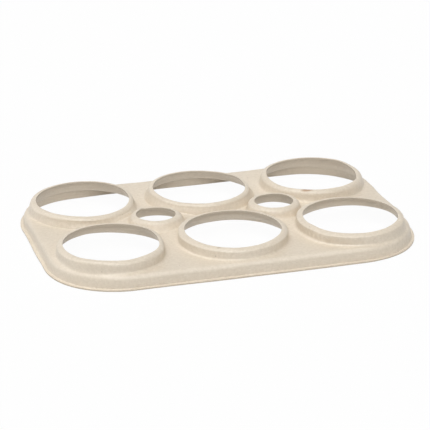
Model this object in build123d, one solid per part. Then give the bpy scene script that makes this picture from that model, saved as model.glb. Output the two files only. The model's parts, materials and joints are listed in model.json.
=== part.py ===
# Six-can carrier ring, moulded from bagasse pulp as one thin shell.
# A skirted tray stands on a narrow trimmed flange. Six collars rise from its deck, each with a die-cut hole
# that snaps over a can's end, and two lower collars between them hold the finger holes for carrying.
# Millimetres, +Z up, origin under the middle of the carrier on the surface that it stands on.
from build123d import *
from math import cos, radians, tan
import os

# Sheet
WALL = 1.0                  # thickness of the pressed pulp

# Can holes
CAN_COLUMNS = 3             # holes along X
CAN_ROWS = 2                # holes along Y
CAN_HOLE_DIA = 52.5         # slips over the end of a can and catches under its seam
COLLAR_GAP = 5.5            # clear deck between the feet of neighbouring collars
COLLAR_DRAFT = 14.0         # lean of a can collar's wall from upright, degrees
RIM_HEIGHT = 13.7           # top of the can collars, the overall height

# Finger holes
FINGER_HOLE_DIA = 21.5
FINGER_DRAFT = 24.0         # lean of a finger collar's wall from upright, degrees
FINGER_RIM_DROP = 0.2       # how far the finger collars stop below the can collars
FINGER_TOE = 10.0           # slope at which a finger collar's foot runs under the deck, degrees

# Rounds of the top skin
LIP_FLAT = 0.6              # level land between a hole and the round of its lip
LIP_ROUND = 2.8
FOOT_ROUND = 1.2            # hollow round where a collar meets the deck
SHOULDER_ROUND = 3.0        # round between the deck and the skirt
FLANGE_ROOT = 0.6           # hollow round between the skirt and the flange

# Tray
DECK_HEIGHT = 7.75
DECK_LAND = 2.8             # from a collar's foot to the deck's sharp edge, before its round
SKIRT_DRAFT = 9.5           # lean of the skirt from upright, degrees
FLANGE_WIDTH = 1.6
CORNER_EASE = 3.8           # the corner arcs are struck this far inside the corner holes' centres


def collar_top(hole_dia, draft):
    """Radius at which a collar's wall, carried on straight, meets the level of its rim."""
    return hole_dia / 2 + LIP_FLAT + LIP_ROUND * tan(radians(90 - draft) / 2)


def collar_foot(hole_dia, draft, rim_height):
    """Radius at which a collar's wall, carried on straight, meets the deck."""
    return collar_top(hole_dia, draft) + (rim_height - DECK_HEIGHT) * tan(radians(draft))


finger_rim_height = RIM_HEIGHT - FINGER_RIM_DROP
can_foot = collar_foot(CAN_HOLE_DIA, COLLAR_DRAFT, RIM_HEIGHT)
pitch = 2 * can_foot + COLLAR_GAP
deck_margin = can_foot + DECK_LAND
skirt_slope = tan(radians(SKIRT_DRAFT))
skirt_margin = deck_margin + DECK_HEIGHT * skirt_slope
edge_margin = skirt_margin - WALL * skirt_slope + FLANGE_WIDTH
can_places = GridLocations(pitch, pitch, CAN_COLUMNS, CAN_ROWS)
finger_places = GridLocations(pitch, pitch, CAN_COLUMNS - 1, CAN_ROWS - 1)


def outline(margin):
    """Rounded rectangle that lies a margin outside the centres of the outer can holes."""
    length = (CAN_COLUMNS - 1) * pitch + 2 * margin
    width = (CAN_ROWS - 1) * pitch + 2 * margin
    return RectangleRounded(length, width, margin + CORNER_EASE)


def tray(depth):
    """Skirted block with its shoulder rounded, taken a depth inside the top skin."""
    base = outline(skirt_margin - depth / cos(radians(SKIRT_DRAFT)))
    block = extrude(base, DECK_HEIGHT - depth, taper=SKIRT_DRAFT)
    deck = block.faces().sort_by(Axis.Z)[-1]
    return fillet(deck.edges(), SHOULDER_ROUND - depth)


def can_collar(depth):
    """Cone with a rounded lip that starts inside the tray, taken a depth inside the top skin."""
    slope = tan(radians(COLLAR_DRAFT))
    seat = DECK_HEIGHT / 2
    rise = RIM_HEIGHT - depth - seat
    seat_radius = can_foot + (DECK_HEIGHT - seat) * slope - depth / cos(radians(COLLAR_DRAFT))
    cone = Solid.make_cone(seat_radius, seat_radius - rise * slope, rise)
    rim = cone.faces().sort_by(Axis.Z)[-1]
    return Pos(0, 0, seat) * fillet(rim.edges(), LIP_ROUND - depth)


def finger_collar(depth):
    """Turned collar whose hollow foot runs out under the deck, taken a depth inside the top skin."""
    slope = tan(radians(FINGER_DRAFT))
    deck = DECK_HEIGHT - depth
    rim = finger_rim_height - depth
    seat = DECK_HEIGHT / 2
    foot = collar_foot(FINGER_HOLE_DIA, FINGER_DRAFT, finger_rim_height) + depth * slope
    foot -= depth / cos(radians(FINGER_DRAFT))
    toe = foot + (deck - seat) / tan(radians(FINGER_TOE))
    lip_corner = (foot - (rim - deck) * slope, 0, rim)
    foot_corner = (foot, 0, deck)
    corners = [(0, 0, seat), (0, 0, rim), lip_corner, foot_corner, (toe, 0, seat)]
    section = make_face(Polyline(*corners, close=True))
    section = fillet(section.vertices().sort_by_distance(lip_corner)[0], LIP_ROUND - depth)
    section = fillet(section.vertices().sort_by_distance(foot_corner)[0], FOOT_ROUND + depth)
    return revolve(section, Axis.Z)


def form(depth):
    """Everything under the top skin as one solid, taken a depth inside that skin."""
    block = tray(depth)
    collars = [place * can_collar(depth) for place in can_places]
    raised = block.fuse(*collars)
    raised = fillet(new_edges(block, *collars, combined=raised), FOOT_ROUND + depth)
    return raised.fuse(*[place * finger_collar(depth) for place in finger_places])


def flanged(body):
    """The body with its flange and the hollow round above it."""
    flange = extrude(outline(edge_margin), WALL)
    whole = body.fuse(flange)
    return fillet(new_edges(body, flange, combined=whole), FLANGE_ROOT)


def hole_cutters():
    """Upright punches through every can hole and finger hole."""
    can_punch = Cylinder(CAN_HOLE_DIA / 2, 2 * RIM_HEIGHT)
    finger_punch = Cylinder(FINGER_HOLE_DIA / 2, 2 * RIM_HEIGHT)
    return [place * can_punch for place in can_places] + [place * finger_punch for place in finger_places]


def hollowed(body):
    """The body hollowed from below to an even wall, the edge of the hollow rounded to match the flange's root."""
    shell = body.cut(form(WALL))
    foot = shell.faces().sort_by(Axis.Z)[0]
    return fillet(foot.inner_wires()[0].edges(), FLANGE_ROOT + WALL)


can_carrier = hollowed(flanged(form(0))).cut(*hole_cutters())

os.makedirs("parts", exist_ok=True)
export_step(can_carrier, "parts/can_carrier.step")
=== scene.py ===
# Six-can carrier ring pressed from bagasse pulp.
# Its form is a finer copy of the imported solid, warped a little as pulp warps when it dries, with rough edges
# where a die has cut it. One finish covers it: pressed bagasse fibre, cream, nearly matt and softly mottled,
# and greyer on the cut edges, partly with painted shade; a fold in a rim has a painted shadow and highlight.
import json
from math import atan2, cos, exp, hypot, pi, radians, sin

import bmesh
import bpy
from mathutils import Matrix, Vector, noise


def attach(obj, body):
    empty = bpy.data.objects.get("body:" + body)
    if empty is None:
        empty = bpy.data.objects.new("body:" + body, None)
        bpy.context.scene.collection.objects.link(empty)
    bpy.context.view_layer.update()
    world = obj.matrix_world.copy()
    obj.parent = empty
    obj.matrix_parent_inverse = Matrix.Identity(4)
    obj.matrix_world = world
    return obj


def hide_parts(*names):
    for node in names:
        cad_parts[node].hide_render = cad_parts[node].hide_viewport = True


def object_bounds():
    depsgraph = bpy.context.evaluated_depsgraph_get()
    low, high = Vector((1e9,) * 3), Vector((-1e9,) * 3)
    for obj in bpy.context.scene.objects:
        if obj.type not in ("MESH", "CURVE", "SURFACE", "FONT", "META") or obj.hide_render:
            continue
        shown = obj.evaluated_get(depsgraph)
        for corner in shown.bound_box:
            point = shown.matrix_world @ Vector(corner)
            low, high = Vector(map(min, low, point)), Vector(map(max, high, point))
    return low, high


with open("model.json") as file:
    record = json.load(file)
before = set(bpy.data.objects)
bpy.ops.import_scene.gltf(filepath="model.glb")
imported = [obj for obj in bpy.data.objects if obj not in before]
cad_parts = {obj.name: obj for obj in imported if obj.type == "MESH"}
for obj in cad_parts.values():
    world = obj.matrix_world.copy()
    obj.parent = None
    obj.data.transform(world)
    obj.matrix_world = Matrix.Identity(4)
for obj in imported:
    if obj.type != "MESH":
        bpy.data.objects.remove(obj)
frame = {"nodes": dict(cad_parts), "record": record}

CAD_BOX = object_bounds()
MM = 0.001

# Photograph
PICTURE_WIDTH = 430                 # pixels, as wide as high
FOCAL_LENGTH = 2344.07              # pixels
CAMERA_AZIMUTH = -15.812            # degrees round from the front
CAMERA_ELEVATION = 21.655
CAMERA_ROLL = -0.472
CAMERA_DISTANCE = 1.2741            # metres from what it looks at
CAMERA_TARGET = Vector((-0.003912, -0.012219, 0.013967))

# Lamps: azimuth from the front and elevation in degrees, strength, and width of the soft source in radians
LAMPS = {
    "softbox_overhead": (-60, 82, 1.08, 0.5),
    "softbox_front": (-2, 46, 1.36, 0.7),
    "softbox_left": (-118, 56, 0.44, 0.5),
    "fill_low_left": (-120, 22, 0.50, 0.6),
}
DOME = 0.11                         # strength of the even light from all round
FLOOR_PAPER = 0.85                  # share of the light that the paper sweep throws back
FLOOR_SHADOW = 0.04                 # share of the lit paper, and of its shadow, that shows through the white
FLOOR_HALF = 3.0                    # metres
FLOOR_DROP = 0.1 * MM               # the sweep lies this far under the carrier's foot

# Places on the carrier
MOUNTS = frame["record"]["mounts"]
CAN_HOLES = {mount["name"]: Vector(mount["pos_m"]) for mount in MOUNTS if mount["kind"] == "bore"}
FINGER_HOLE_OUT = 33.27 * MM        # from the middle of the carrier to the middle of a finger hole
FINGER_HOLES = {
    "finger_hole_left": Vector((-FINGER_HOLE_OUT, 0, 0)),
    "finger_hole_right": Vector((FINGER_HOLE_OUT, 0, 0)),
}
CAN_HOLE_RADIUS = 26.25 * MM
FINGER_HOLE_RADIUS = 10.75 * MM
CORNER_RADIUS = 39.85 * MM          # of the trimmed edge
DECK_HEIGHT = 7.75 * MM
RIM_HEIGHT = CAD_BOX[1].z
HALF_LENGTH = CAD_BOX[1].x
HALF_WIDTH = CAD_BOX[1].y

# Mesh
LONGEST_EDGE = 4.0 * MM
REFINING_ROUNDS = 8
MERGE_DISTANCE = 0.001 * MM
SHARP_TURN = radians(40)            # edges that turn more than this stay crisp
UPRIGHT = 0.08                      # a face that leans less was cut by a die: moulded walls have draft

# Waves and burrs
WARP_SEED = 4                       # fixes the noise, so that every run dries alike
WARP_SIZE = 26.0 * MM               # spacing of the long waves left by drying
WARP_DEPTH = 0.22 * MM
DIMPLE_SIZE = 8.0 * MM              # spacing of the small unevenness of the skin
DIMPLE_DEPTH = 0.07 * MM
WAVE_HEIGHT_SHARE = 0.5             # waves are longer up the walls, so height counts for less
BURR_SIZE = 2.2 * MM                # spacing of the roughness along a die-cut edge
BURR_DEPTH = 0.09 * MM
FLANGE_BURR = 0.3                   # the flange was cut cleaner than the holes, with this share of the burr
ABOVE_FLANGE = (2 * MM, 6 * MM)     # heights between which the burr grows to that of the holes
ABOVE_FOOT = (0.0, 3 * MM)          # the waves grow over these heights, so that the foot stays flat
HIGHEST_WARP = 0.5 * MM             # no rim stands more than this above the pressed form

# Rims that dried out of true: which can hole, direction round it from the right in degrees, rise in mm, and
# half spread in degrees
RIM_WARPS = [
    ("can_hole_back_left", 140, 0.25, 45),
    ("can_hole_back_left", 283, -0.40, 32),
    ("can_hole_back_left", 345, 0.70, 18),
    ("can_hole_back_middle", 65, -1.10, 45),
    ("can_hole_back_right", 150, 0.30, 35),
    ("can_hole_back_right", 270, 0.65, 50),
    ("can_hole_front_left", 243, 0.75, 20),
    ("can_hole_front_left", 308, 0.75, 24),
    ("can_hole_front_left", 345, 0.60, 16),
    ("can_hole_front_middle", 200, 0.45, 15),
    ("can_hole_front_middle", 266, -0.35, 20),
    ("can_hole_front_middle", 335, 0.35, 22),
    ("can_hole_front_right", 202, 0.60, 14),
    ("can_hole_front_right", 330, 0.65, 26),
]
UP_COLLAR = (DECK_HEIGHT - 2 * MM, RIM_HEIGHT)
PAST_COLLAR = (30 * MM, 40 * MM)    # distances from a can hole's middle over which a rim's warp dies away

# How the wall of each collar set, in mm: how far its lip bulges out, how far the lip's lower side rose, and
# how far the foot is drawn in
SETS = {
    "can_hole_front_left": (0.0, 0.45, 0.50),
    "can_hole_front_middle": (0.30, 0.50, 0.60),
    "can_hole_front_right": (0.35, 0.75, 0.40),
    "can_hole_back_middle": (-0.35, 0.10, -0.50),
    "can_hole_back_right": (0.0, 0.10, 0.0),
    "finger_hole_left": (0.20, 0.15, 0.10),
    "finger_hole_right": (0.35, 0.15, 0.25),
}
SET_LIP = 11.8 * MM                 # height at which a lip set most
SET_LIP_ABOVE = 1.0 * MM            # and how far above and below that it still did
SET_LIP_BELOW = 1.8 * MM
SET_FOOT = 8.7 * MM                 # height at which a foot was drawn in most
SET_FOOT_REACH = 0.8 * MM
SET_STARTS = (1.0 * MM, 2.2 * MM)   # distances outside the hole between which the set grows
SET_ENDS = (5 * MM, 7 * MM)         # and dies away

# The back left collar slumped on its near side: direction from the right and half spread in degrees, and how
# far its lip bulges over the wall and its foot spreads
SLUMP_HOLE = "can_hole_back_left"
SLUMP_TURN = 248
SLUMP_SPREAD = 42
SLUMP_LIP = 0.45 * MM
SLUMP_LIP_HEIGHT = 12.5 * MM
SLUMP_LIP_REACH = 0.8 * MM
SLUMP_LIP_STARTS = (26.5 * MM, 28.0 * MM)       # distances from the hole's middle
SLUMP_FOOT = 1.1 * MM
SLUMP_FOOT_HEIGHT = 8.6 * MM
SLUMP_FOOT_REACH = 1.3 * MM
SLUMP_ENDS = (31 * MM, 35 * MM)

# Foot, edge and underside
BACK_LIFT = 0.85 * MM               # the foot of the back skirt has curled up off the floor by this much
TOWARDS_BACK = (10 * MM, 40 * MM)
UP_SKIRT = (0.0, DECK_HEIGHT)
EDGE_THINNING = 0.22 * MM           # the flange is pressed thinner from below towards its cut edge
FROM_EDGE = (0.0, 1.2 * MM)
UP_FLANGE = (0.0, 1.0 * MM)
MIDDLE_THICKENING = 0.42 * MM       # pulp settled thicker under the middle of the deck
END_THINNING = 1.1 * MM             # and this much thinner than that towards the ends
TOWARDS_ENDS = (45 * MM, 90 * MM)
PAST_DECK_MIDDLE = (20 * MM, 30 * MM)
DOWN_TO_UNDERSIDE = (8.4 * MM, 6.7 * MM)

# Pulp gathered in the valleys round the finger collars' feet
VALLEY_FILL = {"finger_hole_left": 0.9 * MM, "finger_hole_right": 0.4 * MM}
CREASE_FILL = 0.9                   # more of it, as a share, in the creases between the can collars
LEFT_FILL = 0.6                     # and on the left
VALLEY_STARTS = (13 * MM, 16 * MM)  # distances from a finger hole's middle
VALLEY_ENDS = (20 * MM, 27 * MM)
UP_TO_DECK = (6.9 * MM, 7.7 * MM)   # the fill grows over these heights, so the underside is left alone
UP_WALL = (9 * MM, 12 * MM)         # and dies away over these

# Other places that dried out of true, all in mm: middle and reach in X and Y, heights at which the shift is
# none and is full, and the shift to the right, to the back and up
COLLAR_WALL = (7.0, 9.5)
UNDERSIDE = (8.4, 6.7)
SHIFTS = {
    "deck_right_end_drawn_in": ((100, 35), (18, 38), (2.0, 5.0), (-0.75, 0.0, -0.15)),
    "deck_right_middle_drawn_in": ((102, 8), (12, 15), (2.0, 5.0), (-0.75, 0.0, -0.2)),
    "front_left_collar_right_side": ((-36.5, -38), (6.5, 16), COLLAR_WALL, (-2.4, 0.0, 0.0)),
    "front_middle_collar_left_side": ((-30, -34), (5, 16), COLLAR_WALL, (1.1, 0.0, 0.0)),
    "front_right_collar_left_side": ((37, -36), (6.5, 18), COLLAR_WALL, (0.95, 0.0, 0.0)),
    "front_middle_collar_right_side": ((30, -34), (5, 16), COLLAR_WALL, (-0.35, 0.0, 0.0)),
    "front_right_collar_right_side": ((97, -36), (6.5, 18), COLLAR_WALL, (-1.2, 0.0, 0.0)),
    "back_left_collar_right_side": ((-36.5, 30), (6.5, 18), COLLAR_WALL, (-1.9, 0.0, 0.0)),
    "back_middle_collar_left_side": ((-30, 26), (4.5, 16), COLLAR_WALL, (1.2, 0.0, 0.0)),
    "back_middle_collar_right_side": ((30, 30), (6.5, 18), COLLAR_WALL, (-1.4, 0.0, 0.0)),
    "back_right_collar_left_side": ((37, 30), (5, 18), COLLAR_WALL, (1.2, 0.0, 0.0)),
    "back_right_collar_right_side": ((97, 32), (6.5, 18), COLLAR_WALL, (-0.35, 0.0, 0.0)),
    "back_right_rim_right_side": ((92.5, 33), (2.5, 16), (10.5, 12.5), (-0.7, 0.0, 0.0)),
    "left_finger_rim_far_side_sunk": ((-31, 10), (13, 6), (8.0, 12.0), (0.0, 0.0, -0.65)),
    "left_finger_collar_set_left": ((-33.3, 0), (15, 15), (8.0, 10.5), (-0.95, 0.0, 0.0)),
    "left_finger_rim_fold": ((-39.4, 9.4), (2.2, 1.8), (11.0, 13.0), (0.0, 0.0, 0.5)),
    "underside_left_end_thinner": ((-79, -4), (13, 10), UNDERSIDE, (0.0, 0.0, 0.45)),
    "underside_left_end_thinnest": ((-87, -9), (6, 6), UNDERSIDE, (0.0, 0.0, 0.9)),
    "deck_left_end_spread": ((-101, 42), (14, 22), (2.0, 6.0), (-0.45, 0.0, 0.0)),
    "back_skirt_less_curled": ((-65, 67), (9, 12), (7.0, 0.5), (0.0, 0.0, -0.25)),
    "back_skirt_more_curled": ((-45, 67), (7, 12), (7.0, 0.5), (0.0, 0.0, 0.2)),
    "underside_right_finger_hole_thinner": ((38, 13), (9, 9), UNDERSIDE, (0.0, 0.0, 0.4)),
    "underside_right_end_thicker": ((95.5, -27), (4, 6), UNDERSIDE, (0.0, 0.0, -1.0)),
    "front_flange_left_trimmed_closer": ((-58, -69), (30, 8), (2.0, 0.0), (0.0, 0.25, 0.1)),
    "front_flange_right_trimmed_closer": ((72, -69), (24, 8), (2.0, 0.0), (0.0, 0.3, 0.1)),
    "left_flange_trimmed_wider": ((-102, -8), (8, 16), (3.0, 0.5), (-0.5, 0.0, 0.0)),
    "deck_back_edge_sunk": ((33, 62), (14, 12), (5.5, 7.5), (0.0, 0.0, -0.45)),
    "back_right_collar_corner_raised": ((92, 52), (8, 10), (8.0, 11.0), (0.25, 0.0, 0.3)),
}

# Bagasse skin, in mm
CLOUD_SIZE = 15                     # where the pulp settled thicker
MOTTLE_SIZE = 1.6                   # print of the forming screen, and clumped fibres
GRAIN_SIZE = 0.8
FIBRE_LENGTH = 4.5
FIBRE_SPACING = 0.7
FIBRE_TURNS = (10, 68, 128)         # degrees
SPECK_NET = 7.0                     # one cell of this net in a few holds a speck
STREAK_LENGTH = 22                  # level streaks of the inner skin
STREAK_SPACING = 1.3
RELIEF_DEPTH = 0.15

# Strengths of what lies on the skin, and shares in its relief
FIBRE_STRENGTH = 0.35
SPECK_STRENGTH = 0.45
SPECK_PICK = 0.72                   # a cell of the net whose random value is above this holds a speck
MOTTLE_RELIEF = 0.6
GRAIN_RELIEF = 0.3
FIBRE_RELIEF = 0.1
RELIEF_STRENGTH = 0.35

# Colours of the skin
CREAM_THIN = "E1D4C1"
CREAM_THICK = "E8DCCA"
MOTTLE_HOLLOW = "D6C9B5"
PALE_FIBRE = "EFE6D6"
BROWN_PITH = "8E7355"
DRAINED_STREAK = "DACCB8"
# the die-cut edges' colours: partly the torn fibre ends' own tone, partly painted shade
CUT_EDGE_DARK_AND_SHADE = "B9AB97"
CUT_EDGE_PALE_AND_SHADE = "D6C8B4"

# Marks on the skin: middle and half size in mm, strength and colour
MARKS = {
    "rind_speck_on_front_middle_collar": ((-16.8, -58.2, 9.5), (0.55, 0.9, 0.45), 0.6, "7A6A52"),
    "nick_in_front_middle_rim": ((-14.5, -56.4, 13.6), (1.3, 0.9, 0.7), 0.5, "9A8A70"),
    "scorched_back_right_rim": ((55.6, 8.6, 14.2), (5.0, 2.4, 1.2), 0.8, "A07850"),
    # painted shadow in the dark gap behind the fold in the left finger rim
    "painted_shadow_in_left_finger_rim_fold": ((-40.0, 10.4, 13.3), (2.6, 1.2, 1.3), 0.75, "94856C"),
    # painted highlight on the raised edge beside that fold
    "painted_highlight_beside_left_finger_rim_fold": ((-42.6, 9.0, 13.0), (1.7, 1.3, 1.2), 0.5, "F4ECDC"),
}


def linear(code):
    """Linear colour with full alpha from an sRGB hex code."""
    parts = [int(code[i:i + 2], 16) / 255 for i in (0, 2, 4)]
    return [c / 12.92 if c <= 0.04045 else ((c + 0.055) / 1.055) ** 2.4 for c in parts] + [1.0]


def add(tree, kind, sockets=None, **settings):
    """Adds a node with its settings, and fills its sockets with values or with links from other outputs."""
    node = tree.nodes.new(kind)
    for name, value in settings.items():
        setattr(node, name, value)
    for socket, value in (sockets or {}).items():
        if isinstance(value, bpy.types.NodeSocket):
            tree.links.new(value, node.inputs[socket])
        else:
            node.inputs[socket].default_value = value
    return node


def per_metre(size_mm):
    """Scale of a pattern whose marks are about this many millimetres apart."""
    return 1000 / size_mm


def new_material(name):
    """An empty node material and its tree."""
    material = bpy.data.materials.new(name)
    material.use_nodes = True
    material.node_tree.nodes.clear()
    return material, material.node_tree


def pressed_bagasse():
    """Bagasse pulp, hot-pressed in a mould: a cream, nearly matt skin with a slight sheen on its rounds.
    It has a soft cloudy mottle, faint fibres lying every way and a few brown specks of pith, and is greyer
    where a die has cut it, partly with painted shade. A fold in a rim has a painted shadow and highlight."""
    material, tree = new_material("pressed_bagasse_fibre")
    place = add(tree, "ShaderNodeTexCoord").outputs["Object"]

    # Clouds and mottle make up the cream of the skin.
    cloud = add(tree, "ShaderNodeTexNoise", {"Vector": place, "Scale": per_metre(CLOUD_SIZE), "Detail": 2.0})
    mottle = add(tree, "ShaderNodeTexNoise",
                 {"Vector": place, "Scale": per_metre(MOTTLE_SIZE), "Detail": 3.0, "Roughness": 0.65})
    grain = add(tree, "ShaderNodeTexNoise",
                {"Vector": place, "Scale": per_metre(GRAIN_SIZE), "Detail": 2.0, "Roughness": 0.55})
    cloud_tone = add(tree, "ShaderNodeMapRange",
                     {"Value": cloud.outputs["Fac"], "From Min": 0.3, "From Max": 0.7}).outputs[0]
    mottle_tone = add(tree, "ShaderNodeMapRange",
                      {"Value": mottle.outputs["Fac"], "From Min": 0.25, "From Max": 0.75}).outputs[0]
    skin = add(tree, "ShaderNodeMix",
               {"Factor": cloud_tone, "A": linear(CREAM_THIN), "B": linear(CREAM_THICK)},
               data_type="RGBA").outputs["Result"]
    skin = add(tree, "ShaderNodeMix", {"Factor": mottle_tone, "A": linear(MOTTLE_HOLLOW), "B": skin},
               data_type="RGBA").outputs["Result"]

    # Bagasse fibres are about 0.02 mm thick, too fine to show, so they are drawn about 0.35 mm wide.
    fibres = None
    for turn in FIBRE_TURNS:
        scale = (per_metre(FIBRE_LENGTH), per_metre(FIBRE_SPACING), per_metre(FIBRE_SPACING))
        laid = add(tree, "ShaderNodeMapping",
                   {"Vector": place, "Rotation": (0.0, 0.0, radians(turn)), "Scale": scale})
        strand = add(tree, "ShaderNodeTexNoise",
                     {"Vector": laid.outputs[0], "Scale": 1.0, "Detail": 1.0, "Distortion": 0.5})
        line = add(tree, "ShaderNodeMapRange",
                   {"Value": strand.outputs["Fac"], "From Min": 0.66, "From Max": 0.74}).outputs[0]
        fibres = line if fibres is None else add(tree, "ShaderNodeMath", {0: fibres, 1: line},
                                                 operation="MAXIMUM").outputs[0]
    fibre_share = add(tree, "ShaderNodeMath", {0: fibres, 1: FIBRE_STRENGTH}, operation="MULTIPLY").outputs[0]
    skin = add(tree, "ShaderNodeMix", {"Factor": fibre_share, "A": skin, "B": linear(PALE_FIBRE)},
               data_type="RGBA").outputs["Result"]

    # Specks of pith and rind are about 0.5 mm across.
    specks = add(tree, "ShaderNodeTexVoronoi", {"Vector": place, "Scale": per_metre(SPECK_NET)})
    picked = add(tree, "ShaderNodeSeparateColor", {"Color": specks.outputs["Color"]}).outputs[0]
    near = add(tree, "ShaderNodeMapRange",
               {"Value": specks.outputs["Distance"], "From Min": 0.060, "From Max": 0.025}).outputs[0]
    rare = add(tree, "ShaderNodeMath", {0: picked, 1: SPECK_PICK}, operation="GREATER_THAN").outputs[0]
    speck = add(tree, "ShaderNodeMath", {0: near, 1: rare}, operation="MULTIPLY").outputs[0]
    speck_share = add(tree, "ShaderNodeMath", {0: speck, 1: SPECK_STRENGTH}, operation="MULTIPLY").outputs[0]
    skin = add(tree, "ShaderNodeMix", {"Factor": speck_share, "A": skin, "B": linear(BROWN_PITH)},
               data_type="RGBA").outputs["Result"]

    # The inner skin dried on no screen: it keeps level streaks, where the pulp drained.
    scale = (per_metre(STREAK_LENGTH), per_metre(STREAK_LENGTH), per_metre(STREAK_SPACING))
    drained = add(tree, "ShaderNodeMapping", {"Vector": place, "Scale": scale}).outputs[0]
    streak = add(tree, "ShaderNodeTexNoise", {"Vector": drained, "Scale": 1.0, "Detail": 2.0}).outputs["Fac"]
    streak = add(tree, "ShaderNodeMapRange", {"Value": streak, "From Min": 0.40, "From Max": 0.62}).outputs[0]
    inner = add(tree, "ShaderNodeAttribute", attribute_name="inner_skin").outputs["Fac"]
    streak_share = add(tree, "ShaderNodeMath", {0: streak, 1: inner}, operation="MULTIPLY").outputs[0]
    skin = add(tree, "ShaderNodeMix", {"Factor": streak_share, "A": skin, "B": linear(DRAINED_STREAK)},
               data_type="RGBA").outputs["Result"]

    # A few larger marks lie on the collars and rims; at the fold in the left finger rim they are a painted
    # shadow in its gap and a painted highlight on its raised edge.
    for middle, size, strength, code in MARKS.values():
        away = add(tree, "ShaderNodeVectorMath", {0: place, 1: [v * MM for v in middle]},
                   operation="SUBTRACT")
        away = add(tree, "ShaderNodeVectorMath", {0: away.outputs[0], 1: [v * MM for v in size]},
                   operation="DIVIDE")
        reach = add(tree, "ShaderNodeVectorMath", {0: away.outputs[0]}, operation="LENGTH").outputs["Value"]
        share = add(tree, "ShaderNodeMapRange",
                    {"Value": reach, "From Min": 1.0, "From Max": 0.4, "To Max": strength}).outputs[0]
        skin = add(tree, "ShaderNodeMix", {"Factor": share, "A": skin, "B": linear(code)},
                   data_type="RGBA").outputs["Result"]

    # A die-cut edge is darker and greyer than the pressed skin: partly the own tone of its torn fibre ends,
    # partly painted shade, standing in for the shade along the foot of the flange and on the rims' cut faces.
    cut = add(tree, "ShaderNodeAttribute", attribute_name="die_cut").outputs["Fac"]
    torn_and_shaded = add(tree, "ShaderNodeMix",
               {"Factor": grain.outputs["Fac"], "A": linear(CUT_EDGE_DARK_AND_SHADE), "B": linear(CUT_EDGE_PALE_AND_SHADE)},
               data_type="RGBA").outputs["Result"]
    colour = add(tree, "ShaderNodeMix", {"Factor": cut, "A": skin, "B": torn_and_shaded},
                 data_type="RGBA").outputs["Result"]

    # Mottle, grain and fibres give the skin its relief, and its raised parts are a little glossier.
    height = add(tree, "ShaderNodeMath", {0: mottle.outputs["Fac"], 1: MOTTLE_RELIEF},
                 operation="MULTIPLY").outputs[0]
    height = add(tree, "ShaderNodeMath", {0: grain.outputs["Fac"], 1: GRAIN_RELIEF, 2: height},
                 operation="MULTIPLY_ADD").outputs[0]
    height = add(tree, "ShaderNodeMath", {0: fibres, 1: FIBRE_RELIEF, 2: height},
                 operation="MULTIPLY_ADD").outputs[0]
    relief = add(tree, "ShaderNodeBump",
                 {"Height": height, "Strength": RELIEF_STRENGTH, "Distance": RELIEF_DEPTH * MM})
    gloss = add(tree, "ShaderNodeMapRange",
                {"Value": mottle.outputs["Fac"], "From Min": 0.25, "From Max": 0.75,
                 "To Min": 0.50, "To Max": 0.42})
    shader = add(tree, "ShaderNodeBsdfPrincipled",
                 {"Base Color": colour, "Roughness": gloss.outputs[0], "IOR": 1.5, "Specular IOR Level": 0.9,
                  "Normal": relief.outputs[0]})
    add(tree, "ShaderNodeOutputMaterial", {"Surface": shader.outputs[0]})
    return material


def fade(value, band):
    """Smooth step from nought at the start of a band to one at its end."""
    start, end = band
    t = min(max((value - start) / (end - start), 0.0), 1.0)
    return t * t * (3 - 2 * t)


def bell(away, reach):
    """Share that falls from one at no distance to little beyond the reach, on both sides."""
    return exp(-(away / reach) ** 2)


def turn_from(place, hole, direction):
    """Turn of a place round a hole from a direction in degrees, at most half a round either way."""
    turn = atan2(place.y - hole.y, place.x - hole.x) - radians(direction)
    return (turn + pi) % (2 * pi) - pi


def rim_warp(place):
    """Rise of a place on a can collar whose rim dried out of true."""
    rise = 0.0
    for name, direction, millimetres, spread in RIM_WARPS:
        hole = CAN_HOLES[name]
        reach = hypot(place.x - hole.x, place.y - hole.y)
        near = bell(turn_from(place, hole, direction), radians(spread)) * (1 - fade(reach, PAST_COLLAR))
        rise += millimetres * MM * near * fade(place.z, UP_COLLAR)
    return rise


def wall_set(place):
    """Shift of a place on a collar whose lip bulged, rose or drew in over its foot as it set."""
    total = Vector((0, 0, 0))
    for name, (bulge, rise, pinch) in SETS.items():
        finger = name in FINGER_HOLES
        out = place - (FINGER_HOLES[name] if finger else CAN_HOLES[name])
        out.z = 0.0
        beyond = out.length - (FINGER_HOLE_RADIUS if finger else CAN_HOLE_RADIUS)
        if not 0 < beyond < SET_ENDS[1]:
            continue
        above = place.z - SET_LIP
        lip = bell(above, SET_LIP_ABOVE if above > 0 else SET_LIP_BELOW)
        foot = bell(place.z - SET_FOOT, SET_FOOT_REACH)
        on_wall = fade(beyond, SET_STARTS) * (1 - fade(beyond, SET_ENDS))
        total += out.normalized() * MM * (bulge * lip - pinch * foot) * on_wall
        total.z += rise * MM * lip * on_wall
    return total


def slump(place):
    """Outward shift on the near side of the back left collar, whose lip bulges over a spread foot."""
    hole = CAN_HOLES[SLUMP_HOLE]
    out = place - hole
    out.z = 0.0
    lip = SLUMP_LIP * bell(place.z - SLUMP_LIP_HEIGHT, SLUMP_LIP_REACH) * fade(out.length, SLUMP_LIP_STARTS)
    foot = SLUMP_FOOT * bell(place.z - SLUMP_FOOT_HEIGHT, SLUMP_FOOT_REACH)
    near = bell(turn_from(place, hole, SLUMP_TURN), radians(SLUMP_SPREAD))
    near *= 1 - fade(out.length, SLUMP_ENDS)
    return out.normalized() * (lip + foot) * near


def back_curl(place):
    """Rise of the foot of the back skirt, which has curled up off the floor."""
    return BACK_LIFT * fade(place.y, TOWARDS_BACK) * (1 - fade(place.z, UP_SKIRT))


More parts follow.
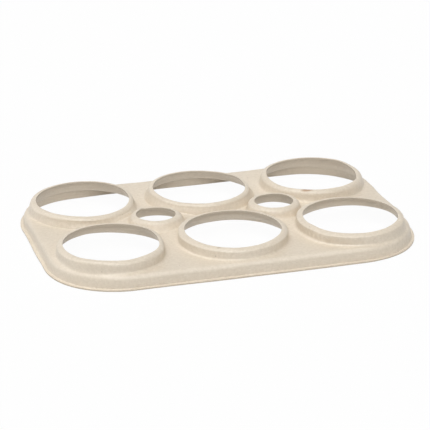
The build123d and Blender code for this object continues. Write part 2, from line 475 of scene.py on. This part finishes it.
def inside_edge(place):
    """Distance of a place inside the trimmed edge."""
    across = abs(place.x) - (HALF_LENGTH - CORNER_RADIUS)
    along = abs(place.y) - (HALF_WIDTH - CORNER_RADIUS)
    return CORNER_RADIUS - hypot(max(across, 0.0), max(along, 0.0)) - min(max(across, along), 0.0)


def edge_thinning(place):
    """Rise of the flange's underside towards its cut edge."""
    return EDGE_THINNING * (1 - fade(inside_edge(place), FROM_EDGE)) * (1 - fade(place.z, UP_FLANGE))


def settled(place):
    """Rise of the underside between the rows, where pulp settled thick in the middle and thin at the ends."""
    rise = END_THINNING * fade(abs(place.x), TOWARDS_ENDS) - MIDDLE_THICKENING
    return rise * (1 - fade(abs(place.y), PAST_DECK_MIDDLE)) * fade(place.z, DOWN_TO_UNDERSIDE)


def valley_fill(place):
    """Rise of the top skin round a finger collar's foot, where pulp gathered beside the can collars."""
    name = "finger_hole_left" if place.x < 0 else "finger_hole_right"
    hole = FINGER_HOLES[name]
    reach = hypot(place.x - hole.x, place.y - hole.y)
    around = fade(reach, VALLEY_STARTS) * (1 - fade(reach, VALLEY_ENDS))
    level = fade(place.z, UP_TO_DECK) * (1 - fade(place.z, UP_WALL))
    turn = turn_from(place, hole, 0)
    share = 1 + CREASE_FILL * abs(sin(2 * turn)) + LEFT_FILL * max(-cos(turn), 0.0)
    return VALLEY_FILL[name] * around * level * share


def local_shift(place):
    """Shift of a place near one of those that dried out of true."""
    x, y, z = place / MM
    total = Vector((0, 0, 0))
    for middle, reach, heights, shift in SHIFTS.values():
        near = bell(x - middle[0], reach[0]) * bell(y - middle[1], reach[1])
        total += Vector(shift) * MM * near * fade(z, heights)
    return total


def dried(place, on_cut):
    """Where a place on the pressed form lies after drying and cutting."""
    wave = Vector((place.x, place.y, place.z * WAVE_HEIGHT_SHARE))
    moved = noise.noise_vector(wave / WARP_SIZE) * WARP_DEPTH
    moved += noise.noise_vector(wave / DIMPLE_SIZE) * DIMPLE_DEPTH
    if on_cut:
        burr = BURR_DEPTH * (FLANGE_BURR + (1 - FLANGE_BURR) * fade(place.z, ABOVE_FLANGE))
        moved += noise.noise_vector(place / BURR_SIZE) * burr
    moved.z *= fade(place.z, ABOVE_FOOT)
    new = place + moved + local_shift(place) + wall_set(place) + slump(place)
    new.z += rim_warp(place) + back_curl(place) + settled(place) + valley_fill(place) + edge_thinning(place)
    new.z = min(max(new.z, 0.0), RIM_HEIGHT + HIGHEST_WARP)
    return new


def refine(mesh):
    """Splits long edges, so that the mesh can follow the warp."""
    bmesh.ops.remove_doubles(mesh, verts=mesh.verts, dist=MERGE_DISTANCE)
    for _ in range(REFINING_ROUNDS):
        long_edges = [edge for edge in mesh.edges if edge.calc_length() > LONGEST_EDGE]
        bmesh.ops.subdivide_edges(mesh, edges=long_edges, cuts=1)
        wide = [face for face in mesh.faces if len(face.verts) > 3]
        bmesh.ops.triangulate(mesh, faces=wide, quad_method="SHORT_EDGE", ngon_method="BEAUTY")


def pressed_carrier(node):
    """The carrier as it left the mould, the oven and the die: a finer, slightly warped copy of the solid."""
    noise.seed_set(WARP_SEED)
    mesh = bmesh.new()
    mesh.from_mesh(node.data)
    refine(mesh)
    mesh.normal_update()
    die_cut = mesh.faces.layers.float.new("die_cut")
    inner_skin = mesh.faces.layers.float.new("inner_skin")
    cut_corners = set()
    for face in mesh.faces:
        face.smooth = True
        if abs(face.normal.z) < UPRIGHT:
            face[die_cut] = 1.0
            cut_corners.update(face.verts)
        elif face.normal.z < 0:
            face[inner_skin] = 1.0
    for edge in mesh.edges:
        edge.smooth = edge.calc_face_angle(0) < SHARP_TURN
    for corner in mesh.verts:
        corner.co = dried(corner.co, corner in cut_corners)
    data = bpy.data.meshes.new("pressed_carrier")
    mesh.to_mesh(data)
    mesh.free()
    data.materials.append(pressed_bagasse())
    carrier = bpy.data.objects.new("pressed_carrier", data)
    bpy.context.scene.collection.objects.link(carrier)
    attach(carrier, "root")
    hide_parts("can_carrier")


def white_to_camera(tree):
    """One for a ray from the camera, from a gloss or through a clear thing, and nought for other light."""
    rays = add(tree, "ShaderNodeLightPath")
    seen = add(tree, "ShaderNodeMath", {0: rays.outputs["Is Camera Ray"], 1: rays.outputs["Is Glossy Ray"]},
               operation="MAXIMUM")
    return add(tree, "ShaderNodeMath", {0: seen.outputs[0], 1: rays.outputs["Is Transmission Ray"]},
               operation="MAXIMUM").outputs[0]


def studio_floor():
    """Sweep of pale matt paper under the carrier, white to the camera apart from a faint shadow."""
    material, tree = new_material("white_paper_sweep")
    paper = add(tree, "ShaderNodeBsdfDiffuse", {"Color": [FLOOR_PAPER, FLOOR_PAPER, FLOOR_PAPER, 1.0]})
    white = add(tree, "ShaderNodeEmission", {"Strength": 1.0})
    share = add(tree, "ShaderNodeMath", {0: white_to_camera(tree), 1: 1 - FLOOR_SHADOW}, operation="MULTIPLY")
    both = add(tree, "ShaderNodeMixShader", {0: share.outputs[0], 1: paper.outputs[0], 2: white.outputs[0]})
    add(tree, "ShaderNodeOutputMaterial", {"Surface": both.outputs[0]})
    corners = [(-FLOOR_HALF, -FLOOR_HALF, 0), (FLOOR_HALF, -FLOOR_HALF, 0),
               (FLOOR_HALF, FLOOR_HALF, 0), (-FLOOR_HALF, FLOOR_HALF, 0)]
    sheet = bpy.data.meshes.new("studio_floor")
    sheet.from_pydata(corners, [], [(0, 1, 2, 3)])
    sheet.materials.append(material)
    floor = bpy.data.objects.new("studio_floor", sheet)
    floor.location.z = -FLOOR_DROP
    bpy.context.scene.collection.objects.link(floor)


def towards(azimuth, elevation):
    """Direction from the carrier to a place round from the front and up, in degrees."""
    turn, rise = radians(azimuth), radians(elevation)
    return Vector((sin(turn) * cos(rise), -cos(turn) * cos(rise), sin(rise)))


def studio_light():
    """A weak even dome, white to the camera, and soft lamps."""
    world = bpy.data.worlds.new("studio")
    bpy.context.scene.world = world
    world.use_nodes = True
    tree = world.node_tree
    tree.nodes.clear()
    level = add(tree, "ShaderNodeMath", {0: white_to_camera(tree), 1: DOME}, operation="MAXIMUM")
    sky = add(tree, "ShaderNodeBackground", {"Color": [1.0, 1.0, 1.0, 1.0], "Strength": level.outputs[0]})
    add(tree, "ShaderNodeOutputWorld", {"Surface": sky.outputs[0]})
    for name, (azimuth, elevation, strength, width) in LAMPS.items():
        lamp = bpy.data.lights.new(name, "SUN")
        lamp.energy = strength
        lamp.angle = width
        stand = bpy.data.objects.new(name, lamp)
        stand.rotation_euler = towards(azimuth, elevation).to_track_quat("Z", "Y").to_euler()
        bpy.context.scene.collection.objects.link(stand)


def photograph_camera():
    """Camera at the photograph's place and angle."""
    back = towards(CAMERA_AZIMUTH, CAMERA_ELEVATION)
    level = Vector((-back.y, back.x, 0)).normalized()
    upright = back.cross(level)
    roll = radians(CAMERA_ROLL)
    right = level * cos(roll) + upright * sin(roll)
    up = upright * cos(roll) - level * sin(roll)
    lens = bpy.data.cameras.new("photograph_camera")
    lens.lens = FOCAL_LENGTH / PICTURE_WIDTH * lens.sensor_width
    camera = bpy.data.objects.new("photograph_camera", lens)
    turned = Matrix((right, up, back)).transposed().to_4x4()
    camera.matrix_world = Matrix.Translation(CAMERA_TARGET + back * CAMERA_DISTANCE) @ turned
    bpy.context.scene.collection.objects.link(camera)
    bpy.context.scene.camera = camera


pressed_carrier(frame["nodes"]["can_carrier"])
studio_floor()
studio_light()
photograph_camera()
bpy.context.scene.view_settings.view_transform = "Standard"
